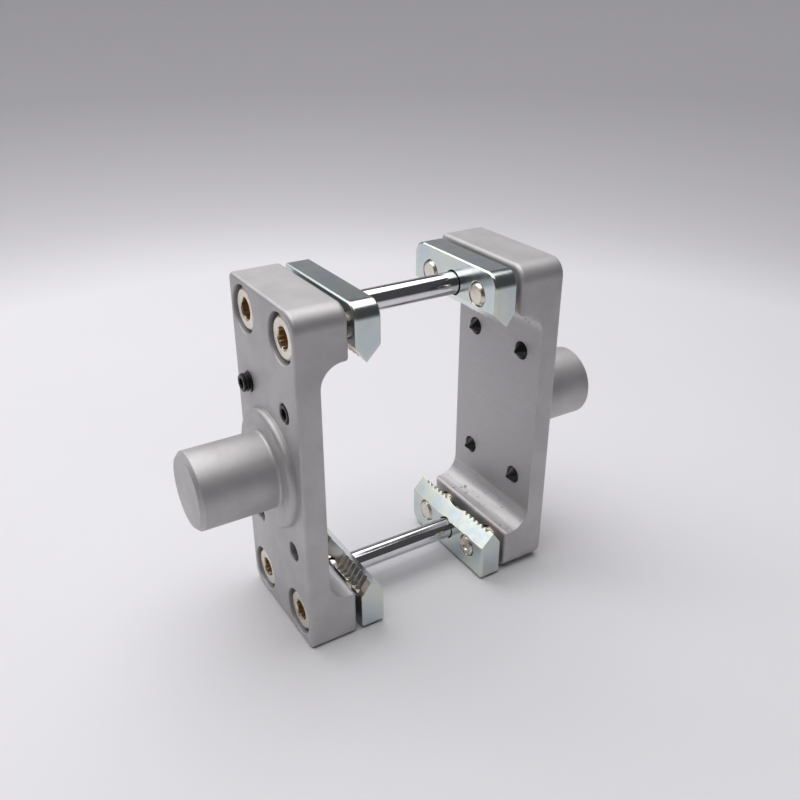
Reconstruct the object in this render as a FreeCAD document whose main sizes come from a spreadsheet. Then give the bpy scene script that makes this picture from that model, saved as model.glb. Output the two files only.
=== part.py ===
import FreeCAD, Part
import math
import os
import Sketcher
from FreeCAD import Placement, Rotation, Vector

# Clamp-on centre trunnion mount for a profile-barrel cylinder.
# Two U-shaped brackets, each with a trunnion pin, sit against the two sides of the barrel.
# In the mouth of each bracket, screws pull a pair of clamp plates towards the bracket's legs,
# and two ground rods keep the plates of the two sides in line.
# Frame: origin at the middle of the trunnion axis, X along the trunnion axis, Y along the barrel, Z up.
# Every sub-part is drawn on the right-hand side (+X), upper level (+Z), and placed from there.

SIZES = {
    # bracket
    "height": 73.5,
    "depth": 28.8,
    "outer_face": 30.1,
    "web_face": 25.4,
    "leg_tip": 19.4,
    "mouth_half": 26.4,
    "mouth_radius": 4.8,
    "corner_radius": 3.6,
    "tight_corner_radius": 1.3,
    "outer_edge_round": 0.7,
    "tip_edge_round": 0.85,
    # trunnion
    "boss_radius": 12.5,
    "boss_height": 1.5,
    "boss_round": 1.1,
    "pin_radius": 8.0,
    "pin_length": 16.0,
    "pin_root": 0.6,
    "pin_chamfer": 0.8,
    # the screw row that the bracket and the clamp plates share
    "row_half": 8.4,
    "row_level": 30.7,
    "counterbore_radius": 4.9,
    "counterbore_depth": 5.6,
    "clear_radius": 2.85,
    "thread_radius": 2.55,
    # set screw holes
    "grub_half": 8.2,
    "grub_level": 15.6,
    "grub_thread_radius": 2.05,
    # how far a cut runs on past the face it comes out of
    "overrun": 1.0,
    # clamp plate
    "plate_inner": 12.8,
    "plate_outer": 18.1,
    "ridge_across": 15.9,
    "plate_back": 36.3,
    "flat_end": 28.2,
    "ridge_level": 25.1,
    "plate_length": 28.8,
    "plate_corner": 3.0,
    "plate_tight_corner": 0.6,
    "plate_chamfer": 0.3,
    "tooth_pitch": 1.56,
    "tooth_width": 1.4,
    "tooth_depth": 0.95,
    "tooth_overrun": 0.05,
    "tooth_start": 4.2,
    "relief_radius": 6.5,
    "relief_depth": 0.98,
    "rod_hole_radius": 2.7,
    "hole_chamfer": 0.2,
    # rod
    "rod_radius": 2.4,
    "rod_half": 18.3,
    "rod_chamfer": 0.3,
    # cap screw, M5 by 12
    "screw_radius": 2.5,
    "screw_length": 12.0,
    "screw_chamfer": 0.6,
    "head_radius": 4.25,
    "head_height": 5.0,
    "head_chamfer": 0.4,
    "socket_flats": 4.0,
    "socket_depth": 2.6,
    # set screw, M4 by 6, cone point
    "grub_radius": 2.0,
    "grub_length": 6.0,
    "grub_cone": 1.9,
    "grub_tip": 0.2,
    "grub_flats": 2.0,
    "grub_socket": 2.2,
    "grub_chamfer": 0.3,
}

TEETH_EACH_SIDE = 6
SIDES = {"left": -1, "right": 1}
LEVELS = {"bottom": -1, "top": 1}
ENDS = {"front": -1, "back": 1}

# The ends of each clamp plate whose outer corner is generously rounded; the others are tight.
WIDE_PLATE_ENDS = {
    ("left", "top"): ["front"],
    ("left", "bottom"): ["back"],
    ("right", "top"): ["front", "back"],
    ("right", "bottom"): ["back"],
}

# The outer corners of each bracket that are generously rounded, by level and end; the others are tight.
WIDE_CORNERS = {
    "left": [("top", "front"), ("bottom", "back")],
    "right": [("top", "front"), ("bottom", "front")],
}

# How far each set screw's socket end stands out of its bracket's outer face; negative is sunk.
GRUB_STANDOUT = {
    "left_top_back": 1.7,
    "left_top_front": 0.1,
    "left_bottom_back": -1.0,
    "left_bottom_front": -1.3,
    "right_top_back": -0.4,
    "right_top_front": -0.5,
    "right_bottom_back": -0.4,
    "right_bottom_front": -0.6,
}

MOUTH_ANGLE = 45
NEAR = 1e-3
# The solver moves each new sketch from these stand-in sizes to its bound ones.
DRAFT_RADIUS = 5.0
ORIGIN_POINT = (-1, 1)
START, END, CENTRE = 1, 2, 3


# ---- sheet, bodies and sketches ----

def new_sheet(doc):
    sheet = doc.addObject("Spreadsheet::Sheet", "sheet")
    for row, (alias, value) in enumerate(SIZES.items(), start=1):
        sheet.set(f"A{row}", alias)
        sheet.set(f"B{row}", str(value))
        sheet.setAlias(f"B{row}", alias)
    doc.recompute()
    return sheet


def bind(obj, prop, text):
    """Bind a property to an expression in which @name stands for a cell of the sheet."""
    obj.setExpression(prop, text.replace("@", "sheet."))


def new_body(doc, label):
    body = doc.addObject("PartDesign::Body", label)
    body.Label = label
    return body


def new_sketch(body, name, role, lift=None):
    """A sketch on one of the body's own origin planes, lifted along that plane's normal."""
    plane = next(item for item in body.Origin.OriginFeatures if item.Role == role)
    sketch = body.newObject("Sketcher::SketchObject", name)
    sketch.AttachmentSupport = [(plane, "")]
    sketch.MapMode = "FlatFace"
    if lift:
        bind(sketch, "AttachmentOffset.Base.z", lift)
    return sketch


def locate(sketch, geo, pos, across, up):
    """Fix one point of a sketch by its two coordinates, each an expression."""
    for kind, text in (("DistanceX", across), ("DistanceY", up)):
        constraint = Sketcher.Constraint(kind, *ORIGIN_POINT, geo, pos, 1.0)
        index = sketch.addConstraint(constraint)
        bind(sketch, f"Constraints[{index}]", text)


def add_polygon(sketch, corners):
    """A closed outline through corners given as pairs of expressions, anticlockwise."""
    count = len(corners)
    turn = 2 * math.pi / count
    draft = [Vector(DRAFT_RADIUS * math.cos(k * turn), DRAFT_RADIUS * math.sin(k * turn), 0)
             for k in range(count)]
    lines = [sketch.addGeometry(Part.LineSegment(draft[k], draft[(k + 1) % count]))
             for k in range(count)]
    for k in range(count):
        following = lines[(k + 1) % count]
        sketch.addConstraint(Sketcher.Constraint("Coincident", lines[k], END, following, START))
    for line, (across, up) in zip(lines, corners):
        locate(sketch, line, START, across, up)


def add_circle(sketch, across, up, radius):
    circle = sketch.addGeometry(Part.Circle(Vector(1, 1, 0), Vector(0, 0, 1), DRAFT_RADIUS))
    locate(sketch, circle, CENTRE, across, up)
    index = sketch.addConstraint(Sketcher.Constraint("Radius", circle, DRAFT_RADIUS))
    bind(sketch, f"Constraints[{index}]", radius)


def add_hexagon(sketch, flats):
    """A hexagon about the sketch's origin, from its width across flats, a flat at each side."""
    half = f"({flats}) / 2"
    side = f"({flats}) / (2 * sqrt(3))"
    corner = f"({flats}) / sqrt(3)"
    add_polygon(sketch, [(half, f"-{side}"), (half, side), ("0", corner),
                         (f"-{half}", side), (f"-{half}", f"-{side}"), ("0", f"-{corner}")])


# ---- features ----

def pad(body, sketch, length, symmetric=False, reversed_way=False):
    feature = body.newObject("PartDesign::Pad", f"{sketch.Label}_pad")
    feature.Profile = sketch
    feature.SideType = "Symmetric" if symmetric else "One side"
    feature.Reversed = reversed_way
    bind(feature, "Length", length)
    return feature


def pocket(body, sketch, length, reversed_way=False, along=None):
    """Cut a sketch into the body, and make sure that it really took something away."""
    before = body.Tip.Shape.Volume
    feature = body.newObject("PartDesign::Pocket", f"{sketch.Label}_cut")
    feature.Profile = sketch
    feature.Reversed = reversed_way
    if along:
        feature.UseCustomVector = True
        feature.AlongSketchNormal = False
        feature.Direction = along
    bind(feature, "Length", length)
    body.Document.recompute()
    if not feature.Shape.Volume < before - NEAR:
        raise RuntimeError(f"{body.Label}: {feature.Label} cuts nothing")
    return feature


def turned(body, sketch, role):
    """Turn a half outline about one of the body's own axes."""
    axis = next(item for item in body.Origin.OriginFeatures if item.Role == role)
    feature = body.newObject("PartDesign::Revolution", f"{sketch.Label}_turned")
    feature.Profile = sketch
    feature.ReferenceAxis = (axis, [""])
    feature.Angle = 360
    return feature


def dressed(body, kind, size, chosen):
    """A Fillet or Chamfer on the edges of the body that the test picks."""
    body.Document.recompute()
    base = body.Tip
    names = [f"Edge{k}" for k, edge in enumerate(base.Shape.Edges, start=1) if chosen(edge)]
    if not names:
        raise RuntimeError(f"{body.Label}: no edge to {kind.lower()}")
    feature = body.newObject(f"PartDesign::{kind}", f"{body.Label}_{kind.lower()}")
    feature.Base = (base, names)
    bind(feature, "Radius" if kind == "Fillet" else "Size", size)
    body.Document.recompute()
    return feature


# ---- edge tests ----

def is_line_along(edge, axis):
    if edge.Curve.TypeId != "Part::GeomLine":
        return False
    return abs(abs(edge.Curve.Direction.dot(axis)) - 1) < NEAR


def middle(edge):
    return edge.valueAt((edge.FirstParameter + edge.LastParameter) / 2)


def is_circle(edge, radius, across):
    """A full circle about an X-parallel axis, at the place across."""
    if edge.Curve.TypeId != "Part::GeomCircle":
        return False
    at_place = abs(edge.BoundBox.XMin - across) < NEAR and abs(edge.BoundBox.XMax - across) < NEAR
    return at_place and abs(edge.Curve.Radius - radius) < NEAR


# ---- sub-parts, each drawn at the right-hand side and upper level ----

def make_bracket(doc, label, wide_corners):
    """U-shaped bracket with its trunnion boss and pin, from one bar.

    wide_corners holds (across, up) signs, as seen along X, of the corners with the larger radius."""
    body = new_body(doc, label)
    top = SIZES["height"] / 2
    side = SIZES["depth"] / 2
    outer = SIZES["outer_face"]
    tip = SIZES["leg_tip"]

    profile = new_sketch(body, "u_profile", "XZ_Plane")
    add_polygon(profile, [("@leg_tip", "-@height / 2"), ("@outer_face", "-@height / 2"),
                          ("@outer_face", "@height / 2"), ("@leg_tip", "@height / 2"),
                          ("@leg_tip", "@mouth_half"), ("@web_face", "@mouth_half"),
                          ("@web_face", "-@mouth_half"), ("@leg_tip", "-@mouth_half")])
    pad(body, profile, "@depth", symmetric=True)

    def is_outer_corner(edge, wide):
        place = middle(edge)
        at_corner = abs(abs(place.z) - top) < NEAR and abs(abs(place.y) - side) < NEAR
        signs = (math.copysign(1, place.y), math.copysign(1, place.z))
        return is_line_along(edge, Vector(1, 0, 0)) and at_corner and (signs in wide_corners) == wide
    dressed(body, "Fillet", "@corner_radius", lambda edge: is_outer_corner(edge, True))
    dressed(body, "Fillet", "@tight_corner_radius", lambda edge: is_outer_corner(edge, False))

    def in_mouth_corner(edge):
        place = middle(edge)
        return (is_line_along(edge, Vector(0, 1, 0)) and abs(place.x - SIZES["web_face"]) < NEAR
                and abs(abs(place.z) - SIZES["mouth_half"]) < NEAR)
    dressed(body, "Fillet", "@mouth_radius", in_mouth_corner)
    dressed(body, "Fillet", "@outer_edge_round", lambda edge: edge.BoundBox.XMin > outer - NEAR)
    dressed(body, "Fillet", "@tip_edge_round", lambda edge: edge.BoundBox.XMax < tip + NEAR)

    boss = new_sketch(body, "boss", "YZ_Plane", "@outer_face - @outer_edge_round")
    add_circle(boss, "0", "0", "@boss_radius")
    pad(body, boss, "@boss_height + @outer_edge_round")
    shoulder = outer + SIZES["boss_height"]
    dressed(body, "Fillet", "@boss_round",
            lambda edge: is_circle(edge, SIZES["boss_radius"], shoulder))

    pin = new_sketch(body, "pin", "YZ_Plane", "@outer_face")
    add_circle(pin, "0", "0", "@pin_radius")
    pad(body, pin, "@boss_height + @pin_length")
    dressed(body, "Fillet", "@pin_root",
            lambda edge: is_circle(edge, SIZES["pin_radius"], shoulder))
    dressed(body, "Chamfer", "@pin_chamfer",
            lambda edge: is_circle(edge, SIZES["pin_radius"], shoulder + SIZES["pin_length"]))

    corners = [(across, up) for across in ("@row_half", "-@row_half")
               for up in ("@row_level", "-@row_level")]
    grubs = [(across, up) for across in ("@grub_half", "-@grub_half")
             for up in ("@grub_level", "-@grub_level")]
    holes = {"counterbores": (corners, "@counterbore_radius", "@counterbore_depth"),
             "clearance_holes": (corners, "@clear_radius", "@outer_face - @leg_tip + @overrun"),
             "set_screw_holes": (grubs, "@grub_thread_radius",
                                 "@outer_face - @web_face + @overrun")}
    for name, (centres, radius, depth) in holes.items():
        sketch = new_sketch(body, name, "YZ_Plane", "@outer_face")
        for across, up in centres:
            add_circle(sketch, across, up, radius)
        pocket(body, sketch, depth)
    dressed(body, "Chamfer", "@hole_chamfer",
            lambda edge: is_circle(edge, SIZES["grub_thread_radius"], outer)
            or is_circle(edge, SIZES["counterbore_radius"], outer))
    return body


def make_clamp(doc, label, wide_ends):
    """Clamp plate: a five-sided bar whose ridge bites into the barrel's groove.

    wide_ends holds the Y signs of the ends whose outer corner has the larger radius."""
    body = new_body(doc, label)
    inner = SIZES["plate_inner"]
    outer = SIZES["plate_outer"]
    end = SIZES["plate_length"] / 2
    back = SIZES["plate_back"]

    profile = new_sketch(body, "ridge_profile", "XZ_Plane")
    add_polygon(profile, [("@ridge_across", "@ridge_level"), ("@plate_outer", "@flat_end"),
                          ("@plate_outer", "@plate_back"), ("@plate_inner", "@plate_back"),
                          ("@plate_inner", "@flat_end")])
    pad(body, profile, "@plate_length", symmetric=True)

    def at_back_corner(edge, ends):
        place = middle(edge)
        at_corner = abs(place.z - back) < NEAR and abs(abs(place.y) - end) < NEAR
        return is_line_along(edge, Vector(1, 0, 0)) and at_corner and math.copysign(1, place.y) in ends
    for size, ends in (("@plate_corner", wide_ends), ("@plate_tight_corner", {1, -1} - wide_ends)):
        if ends:
            dressed(body, "Fillet", size, lambda edge: at_back_corner(edge, ends))

    def around_a_face(edge):
        box = edge.BoundBox
        flat = box.XMax < inner + NEAR or box.XMin > outer - NEAR
        return flat and box.ZMax > SIZES["flat_end"] + NEAR
    dressed(body, "Chamfer", "@plate_chamfer", around_a_face)

    slope = Vector(SIZES["ridge_across"] - outer, 0, SIZES["ridge_level"] - SIZES["flat_end"])
    run = "@flat_end - @ridge_level + @overrun"
    teeth = new_sketch(body, "teeth", "XY_Plane", "@flat_end")
    for way in (1, -1):
        for k in range(TEETH_EACH_SIDE):
            centre = f"{way} * (@tooth_start + {k} * @tooth_pitch)"
            root = ("@plate_outer - @tooth_depth", centre)
            low = ("@plate_outer + @tooth_overrun", f"{centre} - @tooth_width / 2")
            high = ("@plate_outer + @tooth_overrun", f"{centre} + @tooth_width / 2")
            add_polygon(teeth, [root, low, high])
    pocket(body, teeth, run, along=slope)

    relief = new_sketch(body, "relief", "XY_Plane", "@flat_end")
    add_circle(relief, "@plate_outer - @relief_depth + @relief_radius", "0", "@relief_radius")
    pocket(body, relief, run, along=slope)

    through = "@plate_outer - @plate_inner + 2 * @overrun"
    tapped = new_sketch(body, "tapped_holes", "YZ_Plane", "@plate_outer + @overrun")
    for across in ("@row_half", "-@row_half"):
        add_circle(tapped, across, "@row_level", "@thread_radius")
    pocket(body, tapped, through)
    guide = new_sketch(body, "rod_hole", "YZ_Plane", "@plate_outer + @overrun")
    add_circle(guide, "0", "@row_level", "@rod_hole_radius")
    pocket(body, guide, through)
    mouths = new_sketch(body, "tapped_hole_mouths", "YZ_Plane", "@plate_inner")
    for across in ("@row_half", "-@row_half"):
        add_circle(mouths, across, "@row_level", "@thread_radius + @hole_chamfer")
    countersink = pocket(body, mouths, "@hole_chamfer", reversed_way=True)
    countersink.TaperAngle = -MOUTH_ANGLE
    return body


def make_rod(doc, label):
    """Ground rod that runs through the clamp plates of both sides, about its own axis."""
    body = new_body(doc, label)
    outline = new_sketch(body, "half_outline", "XZ_Plane")
    add_polygon(outline, [("-@rod_half", "0"), ("@rod_half", "0"),
                          ("@rod_half", "@rod_radius - @rod_chamfer"),
                          ("@rod_half - @rod_chamfer", "@rod_radius"),
                          ("@rod_chamfer - @rod_half", "@rod_radius"),
                          ("-@rod_half", "@rod_radius - @rod_chamfer")])
    turned(body, outline, "X_Axis")
    return body


def make_cap_screw(doc, label):
    """Socket head cap screw on the X axis, its head's seat at x = 0 and its tip towards -X."""
    body = new_body(doc, label)
    outline = new_sketch(body, "half_outline", "XZ_Plane")
    add_polygon(outline, [("-@screw_length", "0"), ("@head_height", "0"),
                          ("@head_height", "@head_radius - @head_chamfer"),
                          ("@head_height - @head_chamfer", "@head_radius"),
                          ("0", "@head_radius"), ("0", "@screw_radius"),
                          ("@screw_chamfer - @screw_length", "@screw_radius"),
                          ("-@screw_length", "@screw_radius - @screw_chamfer")])
    turned(body, outline, "X_Axis")
    doc.recompute()
    socket = new_sketch(body, "socket", "YZ_Plane", "@head_height")
    add_hexagon(socket, "@socket_flats")
    pocket(body, socket, "@socket_depth")
    return body


def make_set_screw(doc, label):
    """Cone point set screw on the X axis, its socket end at x = 0 and its point towards -X."""
    body = new_body(doc, label)
    outline = new_sketch(body, "half_outline", "XZ_Plane")
    add_polygon(outline, [("-@grub_length", "0"), ("0", "0"),
                          ("0", "@grub_radius - @grub_chamfer"),
                          ("-@grub_chamfer", "@grub_radius"),
                          ("@grub_cone - @grub_length", "@grub_radius"),
                          ("-@grub_length", "@grub_tip")])
    turned(body, outline, "X_Axis")
    doc.recompute()
    socket = new_sketch(body, "socket", "YZ_Plane")
    add_hexagon(socket, "@grub_flats")
    pocket(body, socket, "@grub_socket")
    return body


# ---- placing ----

def facing(side):
    """Turn a part drawn on the right-hand side to the side wanted."""
    return Rotation(Vector(0, 0, 1), 0 if side > 0 else 180)


def standing(level):
    """Turn a part drawn at the upper level to the level wanted."""
    return Rotation(Vector(1, 0, 0), 0 if level > 0 else 180)


def build_assembly(doc):
    parts = []
    seat = SIZES["outer_face"] - SIZES["counterbore_depth"]
    for side_name, side in SIDES.items():
        wide_corners = [(side * ENDS[end], LEVELS[level]) for level, end in WIDE_CORNERS[side_name]]
        bracket = make_bracket(doc, f"{side_name}_bracket", wide_corners)
        bracket.Placement = Placement(Vector(), facing(side))
        parts.append(bracket)
        for level_name, level in LEVELS.items():
            wide_ends = {side * level * ENDS[end]
                         for end in WIDE_PLATE_ENDS[side_name, level_name]}
            clamp = make_clamp(doc, f"{side_name}_{level_name}_clamp", wide_ends)
            clamp.Placement = Placement(Vector(), facing(side) * standing(level))
            parts.append(clamp)
            for end_name, end in ENDS.items():
                place = f"{side_name}_{level_name}_{end_name}"
                screw = make_cap_screw(doc, f"{place}_cap_screw")
                screw.Placement = Placement(Vector(side * seat, end * SIZES["row_half"],
                                                   level * SIZES["row_level"]), facing(side))
                grub = make_set_screw(doc, f"{place}_set_screw")
                reach = SIZES["outer_face"] + GRUB_STANDOUT[place]
                grub.Placement = Placement(Vector(side * reach, end * SIZES["grub_half"],
                                                  level * SIZES["grub_level"]), facing(side))
                parts.extend([screw, grub])
    for level_name, level in LEVELS.items():
        rod = make_rod(doc, f"{level_name}_rod")
        rod.Placement = Placement(Vector(0, 0, level * SIZES["row_level"]), Rotation())
        parts.append(rod)
    return parts


def check(doc, parts):
    for item in doc.Objects:
        if "Invalid" in item.State or "Error" in item.State:
            raise RuntimeError(f"{item.Label} failed: {item.State}")
    for body in parts:
        shape = body.Shape
        if shape.isNull() or not shape.isValid() or len(shape.Solids) != 1:
            raise RuntimeError(f"{body.Label} is not one valid solid")


def main():
    doc = FreeCAD.newDocument("trunnion_mount")
    new_sheet(doc)
    parts = build_assembly(doc)
    doc.recompute()
    check(doc, parts)
    os.makedirs("parts", exist_ok=True)
    for body in parts:
        body.Shape.exportStep(f"parts/{body.Label}.step")
        box = body.Shape.BoundBox
        print(f"{body.Label:36s} volume {body.Shape.Volume:9.1f} mm3  "
              f"x {box.XMin:7.2f} {box.XMax:7.2f}  y {box.YMin:7.2f} {box.YMax:7.2f}  "
              f"z {box.ZMin:7.2f} {box.ZMax:7.2f}")


main()
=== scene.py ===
import math
import random

import bpy
from mathutils import Matrix, Vector


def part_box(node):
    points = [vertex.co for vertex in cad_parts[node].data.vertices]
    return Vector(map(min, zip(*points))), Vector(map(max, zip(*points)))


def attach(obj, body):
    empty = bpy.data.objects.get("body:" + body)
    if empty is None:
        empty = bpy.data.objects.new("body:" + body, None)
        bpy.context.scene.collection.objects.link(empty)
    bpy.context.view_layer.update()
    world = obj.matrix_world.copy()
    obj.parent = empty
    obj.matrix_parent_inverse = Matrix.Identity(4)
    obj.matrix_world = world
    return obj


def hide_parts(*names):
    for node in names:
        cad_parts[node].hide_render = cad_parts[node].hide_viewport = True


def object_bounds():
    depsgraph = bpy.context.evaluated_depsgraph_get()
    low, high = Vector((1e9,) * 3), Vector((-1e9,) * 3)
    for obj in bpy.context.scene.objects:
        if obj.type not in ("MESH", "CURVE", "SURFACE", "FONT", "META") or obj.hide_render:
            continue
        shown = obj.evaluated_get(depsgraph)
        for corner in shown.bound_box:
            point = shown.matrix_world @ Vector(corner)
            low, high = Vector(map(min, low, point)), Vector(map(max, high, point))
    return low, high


# Clamp-on trunnion mount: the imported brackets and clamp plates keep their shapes, the rods and screws
# are rebuilt with ground ends, threads and sockets, and every surface gets its own finish.
# X runs along the trunnion axis, Y along the barrel, Z up. Lengths are in metres.

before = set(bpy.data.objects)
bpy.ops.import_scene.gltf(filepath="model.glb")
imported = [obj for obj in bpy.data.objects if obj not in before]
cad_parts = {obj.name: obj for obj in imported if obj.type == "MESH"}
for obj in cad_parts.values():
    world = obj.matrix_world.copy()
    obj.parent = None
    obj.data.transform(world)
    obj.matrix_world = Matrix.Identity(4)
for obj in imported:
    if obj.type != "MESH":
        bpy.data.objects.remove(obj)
CAD_LOW, CAD_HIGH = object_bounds()

MM = 0.001
CENTRE = (CAD_LOW + CAD_HIGH) / 2
FLOOR_LEVEL = CAD_LOW.z
SIDES = {"left": -1, "right": 1}
LEVELS = ("bottom", "top")
ENDS = ("front", "back")

# ---- camera ----
VIEW_AZIMUTH = -31.63
VIEW_ELEVATION = 27.12
VIEW_DISTANCE = 184.4 * MM
VIEW_RISE = 6.15 * MM
LENS = 38.46
SENSOR = 36.0

# ---- floor: flat to FLOOR_FLAT from the middle, then a curve up into a wall, out to FLOOR_REACH ----
FLOOR_FLAT = 0.30
FLOOR_CURVE = 0.16
WALL_RISE = 0.10
FLOOR_REACH = 1.5

# ---- lights: offset from the middle of the object, width, watts and colour ----
LIGHTS = {
    "overhead": ((-0.04, 0.11, 0.51), 0.88, 4.25, (1.0, 0.99, 0.995)),
    "back_left": ((-0.24, 0.40, 0.25), 0.30, 0.34, (1.0, 1.0, 0.99)),
}
ROOM_COLOUR = (0.96, 0.955, 1.0, 1)
ROOM_STRENGTH = 0.07

# ---- bracket features that its material follows ----
WEB_FACE = 25.4 * MM
MOUTH_HALF = 26.4 * MM
SHOULDER = 31.6 * MM
MILL_STEPS = (17.0 * MM, 3.2 * MM, -1.4 * MM)

# ---- clamp plate features that its material follows ----
RIDGE_ACROSS = 15.95 * MM
FLAT_END = 28.3 * MM

# ---- screws: cap screws M5, set screws M4 ----
CAP_PITCH = 0.8 * MM
CAP_HEAD = 5.0 * MM
CAP_CREST = 2.46 * MM
CAP_NECK = 2.2 * MM
CAP_SOCKET = 4.0 * MM
CAP_TIP_CHAMFER = 0.6 * MM
SET_PITCH = 0.7 * MM
SET_CONE = 1.9 * MM
SET_SOCKET = 2.0 * MM
SET_BLUNT = 0.2 * MM
SET_GAP = 0.03 * MM
AROUND = 60
STEPS_PER_PITCH = 8

random.seed(40)


# ==== scene ====

def add_camera():
    turn = math.radians(VIEW_AZIMUTH)
    tilt = math.radians(VIEW_ELEVATION)
    back = Vector((math.sin(turn) * math.cos(tilt), -math.cos(turn) * math.cos(tilt), math.sin(tilt)))
    right = Vector((0, 0, 1)).cross(back).normalized()
    up = back.cross(right)
    data = bpy.data.cameras.new("camera")
    data.lens = LENS
    data.sensor_width = SENSOR
    data.clip_start = 0.005
    data.clip_end = 20
    camera = bpy.data.objects.new("camera", data)
    camera.matrix_world = Matrix((right, up, back)).transposed().to_4x4()
    camera.location = CENTRE + back * VIEW_DISTANCE + up * VIEW_RISE
    bpy.context.scene.collection.objects.link(camera)
    bpy.context.scene.camera = camera


def add_area(name, offset, size, power, colour):
    data = bpy.data.lights.new(name, "AREA")
    data.shape = "DISK"
    data.size = size
    data.energy = power
    data.color = colour
    light = bpy.data.objects.new(name, data)
    light.location = CENTRE + Vector(offset)
    light.rotation_euler = (-Vector(offset)).to_track_quat("-Z", "Y").to_euler()
    bpy.context.scene.collection.objects.link(light)


def add_lights():
    for name, (offset, size, power, colour) in LIGHTS.items():
        add_area(name, offset, size, power, colour)
    world = bpy.data.worlds.new("room")
    world.use_nodes = True
    background = world.node_tree.nodes["Background"]
    background.inputs["Color"].default_value = ROOM_COLOUR
    background.inputs["Strength"].default_value = ROOM_STRENGTH
    bpy.context.scene.world = world
    bpy.context.scene.view_settings.view_transform = "Standard"


def add_stage():
    """A wide flat floor, as one turned surface, that curves up into a low wall behind the object only."""
    steps, count = 12, 96
    outline = [(FLOOR_FLAT * k / steps, 0) for k in range(1, steps + 1)]
    for k in range(1, steps + 1):
        angle = math.pi / 2 * k / steps
        outline.append((FLOOR_FLAT + FLOOR_CURVE * math.sin(angle),
                        FLOOR_CURVE * (1 - math.cos(angle))))
    outline.append((FLOOR_FLAT + FLOOR_CURVE, FLOOR_CURVE + WALL_RISE))
    outline.append((FLOOR_REACH, FLOOR_CURVE + WALL_RISE))
    behind = math.radians(90 + VIEW_AZIMUTH)
    vertices = []
    for radius, rise in outline:
        for k in range(count):
            angle = 2 * math.pi * k / count
            raised = min(1, max(0, 0.5 + 1.5 * math.cos(angle - behind)))
            vertices.append((radius * math.cos(angle), radius * math.sin(angle),
                             FLOOR_LEVEL + rise * raised))
    faces = []
    for row in range(len(outline) - 1):
        for k in range(count):
            here, after = row * count + k, row * count + (k + 1) % count
            faces.append((here, here + count, after + count, after))
    vertices.append((0, 0, FLOOR_LEVEL))
    faces.extend((len(vertices) - 1, k, (k + 1) % count) for k in range(count))
    mesh = bpy.data.meshes.new("stage")
    mesh.from_pydata(vertices, [], faces)
    mesh.shade_smooth()
    mesh.materials.append(paper())
    stage = bpy.data.objects.new("stage", mesh)
    bpy.context.scene.collection.objects.link(stage)


# ==== materials ====

class Nodes:
    """Short spellings for building one material's node tree."""

    def __init__(self, name):
        self.material = bpy.data.materials.new(name)
        self.material.use_nodes = True
        self.tree = self.material.node_tree
        self.shader = self.tree.nodes["Principled BSDF"]
        self.place = self.add("ShaderNodeTexCoord").outputs["Object"]

    def add(self, kind, **settings):
        node = self.tree.nodes.new(kind)
        for key, value in settings.items():
            setattr(node, key, value)
        return node

    def put(self, socket, value):
        if isinstance(value, bpy.types.NodeSocket):
            self.tree.links.new(value, socket)
        else:
            socket.default_value = value

    def math(self, operation, *values):
        node = self.add("ShaderNodeMath", operation=operation)
        for socket, value in zip(node.inputs, values):
            self.put(socket, value)
        return node.outputs[0]

    def all_of(self, *masks):
        product = masks[0]
        for mask in masks[1:]:
            product = self.math("MULTIPLY", product, mask)
        return product

    def split(self, vector):
        node = self.add("ShaderNodeSeparateXYZ")
        self.put(node.inputs[0], vector)
        return node.outputs

    def normal(self):
        return self.split(self.add("ShaderNodeNewGeometry").outputs["Normal"])

    def stretched(self, scale):
        """The object's own coordinates, scaled by a different amount along each axis."""
        node = self.add("ShaderNodeVectorMath", operation="MULTIPLY")
        self.put(node.inputs[0], self.place)
        node.inputs[1].default_value = scale
        return node.outputs[0]

    def noise(self, scale, vector=None, detail=3.0, roughness=0.55):
        node = self.add("ShaderNodeTexNoise")
        self.put(node.inputs["Vector"], vector or self.place)
        node.inputs["Scale"].default_value = scale
        node.inputs["Detail"].default_value = detail
        node.inputs["Roughness"].default_value = roughness
        return node.outputs["Fac"]

    def ramp(self, value, low, high, start=0.0, stop=1.0):
        """A value mapped from the span low..high to start..stop, held at the ends."""
        node = self.add("ShaderNodeMapRange")
        self.put(node.inputs["Value"], value)
        for key, number in (("From Min", low), ("From Max", high), ("To Min", start), ("To Max", stop)):
            self.put(node.inputs[key], number)
        return node.outputs[0]

    def mix(self, factor, first, second):
        node = self.add("ShaderNodeMix", data_type="RGBA")
        self.put(node.inputs[0], factor)
        for socket, value in ((node.inputs[6], first), (node.inputs[7], second)):
            self.put(socket, value if isinstance(value, bpy.types.NodeSocket) else (*value, 1))
        return node.outputs[2]

    def bump(self, height, depth, after=None):
        node = self.add("ShaderNodeBump")
        node.inputs["Distance"].default_value = depth
        self.put(node.inputs["Height"], height)
        if after:
            self.put(node.inputs["Normal"], after)
        return node.outputs["Normal"]

    def edges(self, radius):
        """Near 1 on sharp edges and 0 on flats, with the rounded normal that goes with it."""
        rounded = self.add("ShaderNodeBevel", samples=6)
        rounded.inputs["Radius"].default_value = radius
        dot = self.add("ShaderNodeVectorMath", operation="DOT_PRODUCT")
        self.put(dot.inputs[0], rounded.outputs[0])
        self.put(dot.inputs[1], self.add("ShaderNodeNewGeometry").outputs["Normal"])
        return self.ramp(dot.outputs["Value"], 0.995, 0.9), rounded.outputs[0]

    def finish(self, **sockets):
        for key, value in sockets.items():
            self.put(self.shader.inputs[key.replace("_", " ")], value)
        return self.material


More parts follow.
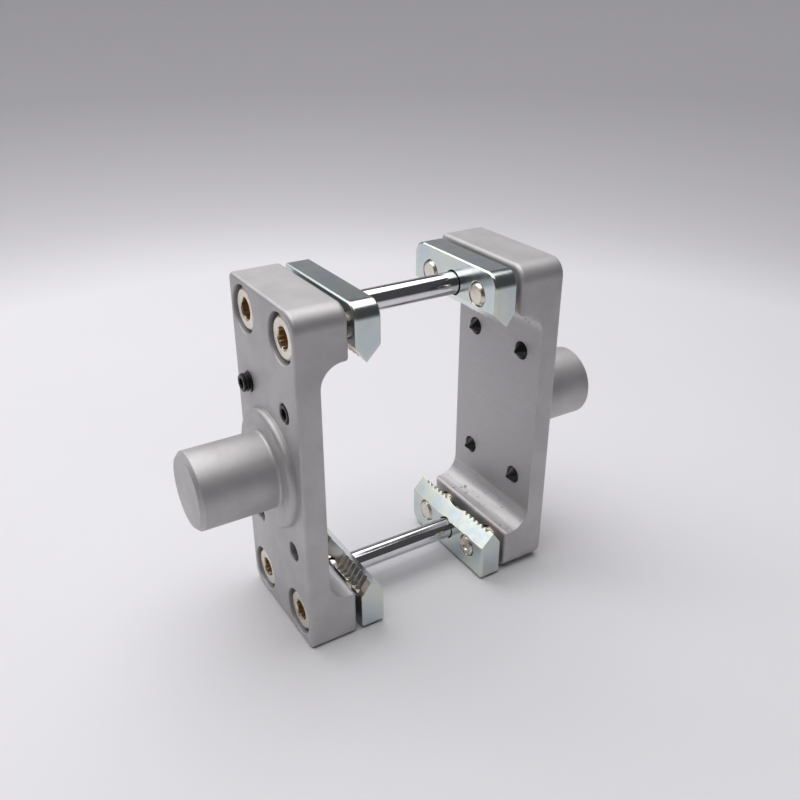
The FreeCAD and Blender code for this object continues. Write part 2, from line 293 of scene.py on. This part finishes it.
def paper():
    """Pale paper, greyer with distance from the middle of the floor: painted shade in place of the lamp's
    falloff.
    """
    n = Nodes("pale_stage_painted_falloff")
    length = n.add("ShaderNodeVectorMath", operation="LENGTH")
    n.put(length.inputs[0], n.place)
    near = n.mix(n.noise(6, detail=2), (0.78, 0.775, 0.80), (0.82, 0.815, 0.84))
    # Painted shade: the paper goes from pale to grey between 0.23 and 0.42 m from the middle, standing in
    # for light falling off.
    painted_falloff_shade = n.mix(n.ramp(length.outputs["Value"], 0.23, 0.42), near, (0.37, 0.365, 0.385))
    return n.finish(Base_Color=painted_falloff_shade, Roughness=0.75, Normal=n.bump(n.noise(900, detail=4), 0.02 * MM))


def bracket_metal():
    """Bead-blasted aluminium, milled inside the mouth and turned on the pin, lighter on its edges, with
    painted highlights along the mill steps and painted shade in the pits.
    """
    n = Nodes("blasted_aluminium")
    across, _, up = n.split(n.place)
    reach = n.math("ABSOLUTE", across)
    rise = n.math("ABSOLUTE", up)
    _, facing_y, _ = n.normal()
    sideways = n.math("ABSOLUTE", facing_y)
    milled = n.all_of(n.math("LESS_THAN", reach, WEB_FACE + 0.05 * MM),
                      n.math("LESS_THAN", rise, MOUTH_HALF + 0.05 * MM),
                      n.math("LESS_THAN", sideways, 0.5))
    worn, rounded = n.edges(0.25 * MM)

    in_corner = n.math("MULTIPLY", milled, n.math("LESS_THAN", reach, WEB_FACE - 0.05 * MM))
    grain = n.noise(3800, detail=5)
    blotch = n.noise(160, detail=3)
    cut_lines = n.noise(1, n.stretched((2600, 90, 2600)), detail=3)
    pits_with_painted_shade = n.all_of(in_corner, n.math("GREATER_THAN", n.noise(900, detail=2), 0.68))
    # Painted highlights: light lines along the mill steps on the web, standing in for the light caught at
    # the step edges.
    steps = None
    for level in MILL_STEPS:
        step = n.math("LESS_THAN", n.math("ABSOLUTE", n.math("SUBTRACT", up, level)), 0.09 * MM)
        steps = step if steps is None else n.math("MAXIMUM", steps, step)
    steps = n.all_of(steps, milled, n.ramp(n.noise(220), 0.42, 0.6))

    plain = n.mix(n.ramp(blotch, 0.35, 0.65), (0.52, 0.505, 0.512), (0.58, 0.565, 0.572))
    lined = n.mix(n.ramp(cut_lines, 0.35, 0.7), (0.475, 0.465, 0.475), (0.50, 0.49, 0.50))
    scored = n.mix(n.ramp(cut_lines, 0.35, 0.7), (0.50, 0.49, 0.495), (0.64, 0.63, 0.635))
    colour = n.mix(milled, plain, lined)
    colour = n.mix(in_corner, colour, scored)
    colour = n.mix(n.math("MULTIPLY", steps, 0.22), colour, (0.74, 0.73, 0.75))
    # Painted shade: the pits are darkened close to black for the shade in their hollows; their dent in
    # the bump is real.
    colour = n.mix(n.math("MULTIPLY", pits_with_painted_shade, 0.7), colour, (0.16, 0.15, 0.15))
    colour = n.mix(n.math("MULTIPLY", worn, 0.4), colour, (0.84, 0.83, 0.84))

    rough = n.ramp(n.noise(900), 0.3, 0.7, 0.50, 0.58)
    rough = n.math("SUBTRACT", rough, n.math("MULTIPLY", milled, 0.04))
    turned = n.noise(1, n.stretched((5000, 12, 12)), detail=2)
    on_pin = n.math("GREATER_THAN", reach, SHOULDER)
    grain_height = n.math("MULTIPLY", grain, n.math("SUBTRACT", 1.6, n.math("MULTIPLY", milled, 1.2)))
    line_share = n.math("ADD", n.math("MULTIPLY", milled, 0.10), n.math("MULTIPLY", in_corner, 0.5))
    line_height = n.math("MULTIPLY", cut_lines, line_share)
    turn_height = n.math("MULTIPLY", turned, n.math("MULTIPLY", on_pin, 0.15))
    height = n.math("ADD", grain_height, n.math("ADD", line_height, turn_height))
    height = n.math("SUBTRACT", height, n.math("MULTIPLY", pits_with_painted_shade, 1.5))
    return n.finish(Base_Color=colour, Metallic=0.72, Roughness=rough,
                    Normal=n.bump(height, 0.012 * MM, rounded))


def zinc_plate():
    """Bright zinc with a thin passivation: bluish on flats, straw at the edges, and a painted bronze
    reflection in the teeth.
    """
    n = Nodes("passivated_zinc")
    worn, rounded = n.edges(0.2 * MM)
    margin, _ = n.edges(1.6 * MM)
    across, _, up = n.split(n.place)
    _, endways, _ = n.normal()
    reach = n.math("ABSOLUTE", across)
    rise = n.math("ABSOLUTE", up)
    in_teeth = n.all_of(n.math("GREATER_THAN", reach, RIDGE_ACROSS), n.math("LESS_THAN", rise, FLAT_END),
                        n.math("LESS_THAN", n.math("ABSOLUTE", endways), 0.95))
    drift = n.noise(150, detail=3)
    straw = n.math("ADD", n.math("MULTIPLY", margin, 0.45), n.ramp(drift, 0.38, 0.66, 0.0, 0.75))
    colour = n.mix(n.math("MINIMUM", straw, 1.0), (0.56, 0.635, 0.68), (0.68, 0.71, 0.60))
    bloom = n.ramp(n.noise(300, detail=2), 0.58, 0.74, 0.0, 0.35)
    colour = n.mix(bloom, colour, (0.70, 0.67, 0.75))
    # Painted reflection: the teeth are tinted bronze for the warm reflections on their facets.
    colour = n.mix(n.math("MULTIPLY", in_teeth, n.ramp(drift, 0.3, 0.6, 0.35, 0.75)), colour,
                   (0.60, 0.47, 0.36))
    colour = n.mix(n.math("MULTIPLY", worn, 0.4), colour, (0.92, 0.93, 0.90))
    brush = n.noise(1, n.stretched((700, 120, 700)), detail=2)
    rough = n.ramp(n.noise(500), 0.3, 0.7, 0.17, 0.23)
    return n.finish(Base_Color=colour, Metallic=1.0, Roughness=rough,
                    Normal=n.bump(brush, 0.0030 * MM, rounded))


def ground_steel():
    n = Nodes("ground_rod_steel")
    rings = n.noise(1, n.stretched((4200, 60, 60)), detail=3)
    smear = n.noise(260, detail=2)
    colour = n.mix(n.ramp(smear, 0.3, 0.7), (0.70, 0.70, 0.72), (0.78, 0.775, 0.79))
    rough = n.ramp(rings, 0.3, 0.7, 0.06, 0.13)
    return n.finish(Base_Color=colour, Metallic=1.0, Roughness=rough, Normal=n.bump(rings, 0.0012 * MM))


def nickel_steel():
    """Nickel plated screw steel, warm in tone all over; the socket's browner colour is painted shade, in
    a material of its own.
    """
    n = Nodes("nickel_screw_steel")
    worn, rounded = n.edges(0.12 * MM)
    drift = n.noise(600, detail=3)
    colour = n.mix(n.ramp(drift, 0.35, 0.7), (0.70, 0.65, 0.57), (0.78, 0.73, 0.66))
    colour = n.mix(n.math("MULTIPLY", worn, 0.35), colour, (0.90, 0.88, 0.84))
    rough = n.ramp(n.noise(2500), 0.3, 0.7, 0.22, 0.34)
    return n.finish(Base_Color=colour, Metallic=1.0, Roughness=rough,
                    Normal=n.bump(n.noise(4000), 0.004 * MM, rounded))


def painted_shade_socket_steel():
    """The broached inside of a nickel plated socket: duller than the head, and browner and darker as
    painted shade down the recess.
    """
    n = Nodes("broached_socket_painted_shade")
    streaks = n.noise(1, n.stretched((300, 3500, 3500)), detail=3)
    # Painted shade: a darker brown than the head, for the shade down inside the socket; the broach
    # streaks are real.
    colour = n.mix(n.ramp(streaks, 0.35, 0.7), (0.44, 0.32, 0.19), (0.68, 0.53, 0.34))
    return n.finish(Base_Color=colour, Metallic=1.0, Roughness=n.ramp(streaks, 0.3, 0.7, 0.28, 0.42),
                    Normal=n.bump(streaks, 0.008 * MM))


def black_oxide():
    n = Nodes("black_oxide_steel")
    worn, rounded = n.edges(0.1 * MM)
    colour = n.mix(n.ramp(n.noise(1200), 0.35, 0.7), (0.008, 0.008, 0.009), (0.026, 0.025, 0.025))
    colour = n.mix(n.math("MULTIPLY", worn, 0.3), colour, (0.12, 0.12, 0.12))
    rough = n.ramp(n.noise(2600), 0.3, 0.7, 0.24, 0.42)
    return n.finish(Base_Color=colour, Metallic=0.35, Roughness=rough,
                    Normal=n.bump(n.noise(3000), 0.004 * MM, rounded))


# ==== turned and threaded pieces ====

def round_ring(x, radius):
    return [(x, radius)] * AROUND


def hex_ring(x, flats):
    """A hexagon given by its width across flats, in the same count of points as a round ring."""
    ring = []
    for k in range(AROUND):
        angle = math.radians((k * 360 / AROUND + 30) % 60 - 30)
        ring.append((x, flats / 2 / math.cos(angle)))
    return ring


def thread_ring(x, crest, pitch, limit):
    """One ring of a right-hand thread; limit is the most that the radius may be there."""
    ring = []
    for k in range(AROUND):
        phase = (x / pitch - k / AROUND) % 1
        flank = min(1, max(0, (abs(phase - 0.5) * 2 - 0.12) / 0.72))
        ring.append((x, min(limit, crest - pitch / 2 * (1 - flank))))
    return ring


def thread_rings(start, stop, crest, pitch, limit_at):
    count = max(2, round((stop - start) / pitch * STEPS_PER_PITCH))
    places = [start + (stop - start) * k / count for k in range(count + 1)]
    return [thread_ring(x, crest, pitch, limit_at(x)) for x in places]


def knurl_rings(start, stop, radius, depth):
    """A straight knurl: every other point of the ring sits lower."""
    low = [(start, radius - depth * (k % 2)) for k in range(AROUND)]
    high = [(stop, radius - depth * (k % 2)) for k in range(AROUND)]
    return [low, high]


def skin(name, rings, materials, material_at, place, side, spin=0.0):
    """A closed piece through rings about its own X axis, then turned to its side and put in place."""
    vertices = []
    for ring in rings:
        for k, (x, radius) in enumerate(ring):
            angle = 2 * math.pi * k / AROUND
            vertices.append(Vector((x, radius * math.cos(angle), radius * math.sin(angle))))
    faces = []
    slots = []
    for row in range(len(rings) - 1):
        for k in range(AROUND):
            here, after = row * AROUND + k, row * AROUND + (k + 1) % AROUND
            faces.append((here, here + AROUND, after + AROUND, after)[::-1])
            slots.append(material_at(row))
    first = len(vertices)
    vertices.append(Vector((rings[0][0][0], 0, 0)))
    vertices.append(Vector((rings[-1][0][0], 0, 0)))
    last_row = (len(rings) - 1) * AROUND
    for k in range(AROUND):
        after = (k + 1) % AROUND
        faces.append((first, k, after)[::-1])
        slots.append(material_at(0))
        faces.append((first + 1, last_row + after, last_row + k)[::-1])
        slots.append(material_at(len(rings) - 1))
    turn = Matrix.Rotation(0 if side > 0 else math.pi, 4, "Z") @ Matrix.Rotation(spin, 4, "X")
    shift = Matrix.Translation(place) @ turn
    mesh = bpy.data.meshes.new(name)
    mesh.from_pydata([shift @ v for v in vertices], [], faces)
    for material in materials:
        mesh.materials.append(material)
    mesh.polygons.foreach_set("material_index", slots)
    mesh.shade_smooth()
    mesh.set_sharp_from_angle(angle=math.radians(28))
    piece = bpy.data.objects.new(name, mesh)
    bpy.context.scene.collection.objects.link(piece)
    return piece


def stand_for(piece, node):
    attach(piece, node)
    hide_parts(node)


def screw_axis(node, side):
    """A screw's outer end on its own axis, and its length."""
    low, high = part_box(node)
    outer = high.x if side > 0 else low.x
    return Vector((outer, (low.y + high.y) / 2, (low.z + high.z) / 2)), high.x - low.x


def add_cap_screw(place, side, materials, cupped):
    """Socket head cap screw: threaded shank, knurled head, broached hexagon socket."""
    node = f"{place}_cap_screw"
    top, length = screw_axis(node, side)
    low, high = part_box(node)
    head_radius = (high.z - low.z) / 2
    socket = CAP_SOCKET
    tip = -length
    seat = -CAP_HEAD

    def limit_at(x):
        return CAP_CREST - CAP_TIP_CHAMFER + (x - tip)
    rings = []
    if cupped:
        rings += [round_ring(tip + 0.5 * MM, 0.2 * MM), round_ring(tip + 0.45 * MM, 0.9 * MM),
                  round_ring(tip, 1.2 * MM)]
    rings += [round_ring(tip, 1.5 * MM)]
    rings += thread_rings(tip, seat - 1.2 * MM, CAP_CREST, CAP_PITCH, limit_at)
    rings += [round_ring(seat - 0.9 * MM, CAP_NECK), round_ring(seat - 0.2 * MM, CAP_NECK),
              round_ring(seat, 2.5 * MM), round_ring(seat, head_radius - 0.3 * MM),
              round_ring(seat + 0.15 * MM, head_radius - 0.1 * MM)]
    rings += knurl_rings(seat + 0.4 * MM, -0.75 * MM, head_radius, 0.1 * MM)
    rings += [round_ring(-0.55 * MM, head_radius), round_ring(-0.35 * MM, head_radius - 0.06 * MM),
              round_ring(-0.08 * MM, head_radius - 0.35 * MM), round_ring(0, head_radius - 0.5 * MM),
              round_ring(0, socket / 2 + 0.42 * MM), round_ring(-0.18 * MM, socket / 2 + 0.2 * MM)]
    inside = len(rings)
    rings += [hex_ring(-0.3 * MM, socket), hex_ring(-2.5 * MM, socket),
              round_ring(-2.6 * MM, 1.7 * MM), round_ring(-3.2 * MM, 0.2 * MM)]
    piece = skin(f"{node}_threaded", rings, materials, lambda row: int(row >= inside - 1),
                 top, side, random.uniform(0, math.pi))
    stand_for(piece, node)


def add_set_screw(place, side, material):
    """Cone point set screw: threaded all along, with a small hexagon socket."""
    node = f"{place}_set_screw"
    top, length = screw_axis(node, side)
    low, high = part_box(node)
    crest, socket = (high.z - low.z) / 2 - SET_GAP, SET_SOCKET
    tip = -length

    def limit_at(x):
        from_tip = SET_BLUNT + (x - tip) * (crest - SET_BLUNT) / SET_CONE
        from_top = crest - 0.3 * MM - x
        return min(from_tip, from_top)
    rings = [round_ring(tip, SET_BLUNT)]
    rings += thread_rings(tip + 0.1 * MM, 0, crest, SET_PITCH, limit_at)
    rings += [round_ring(0, socket / 2 + 0.25 * MM), hex_ring(-0.15 * MM, socket),
              hex_ring(-2.0 * MM, socket), round_ring(-2.3 * MM, 0.2 * MM)]
    piece = skin(f"{node}_threaded", rings, [material], lambda row: 0,
                 top, side, random.uniform(0, math.pi))
    stand_for(piece, node)


def add_rod(level, material):
    """Ground rod with a small lead on each end, in enough rings to carry its ground finish."""
    node = f"{level}_rod"
    low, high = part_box(node)
    half, radius, lead = (high.x - low.x) / 2, (high.z - low.z) / 2, 0.3 * MM
    rings = [round_ring(-half, radius - lead), round_ring(-half + 0.5 * lead, radius - 0.35 * lead),
             round_ring(-half + lead, radius), round_ring(half - lead, radius),
             round_ring(half - 0.5 * lead, radius - 0.35 * lead), round_ring(half, radius - lead)]
    piece = skin(f"{node}_ground", rings, [material], lambda row: 0, (low + high) / 2, 1)
    stand_for(piece, node)


def finish_node(node, material):
    """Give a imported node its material; its shape stays as it is."""
    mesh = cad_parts[node].data
    mesh.materials.clear()
    mesh.materials.append(material)


def add_pieces():
    bracket, zinc, steel = bracket_metal(), zinc_plate(), ground_steel()
    nickel, socket, black = nickel_steel(), painted_shade_socket_steel(), black_oxide()
    for side_name, side in SIDES.items():
        finish_node(f"{side_name}_bracket", bracket)
        for level in LEVELS:
            finish_node(f"{side_name}_{level}_clamp", zinc)
            for end in ENDS:
                place = f"{side_name}_{level}_{end}"
                add_cap_screw(place, side, [nickel, socket], place == "right_bottom_front")
                add_set_screw(place, side, black)
    for level in LEVELS:
        add_rod(level, steel)


add_camera()
add_lights()
add_stage()
add_pieces()

bpy.context.view_layer.update()
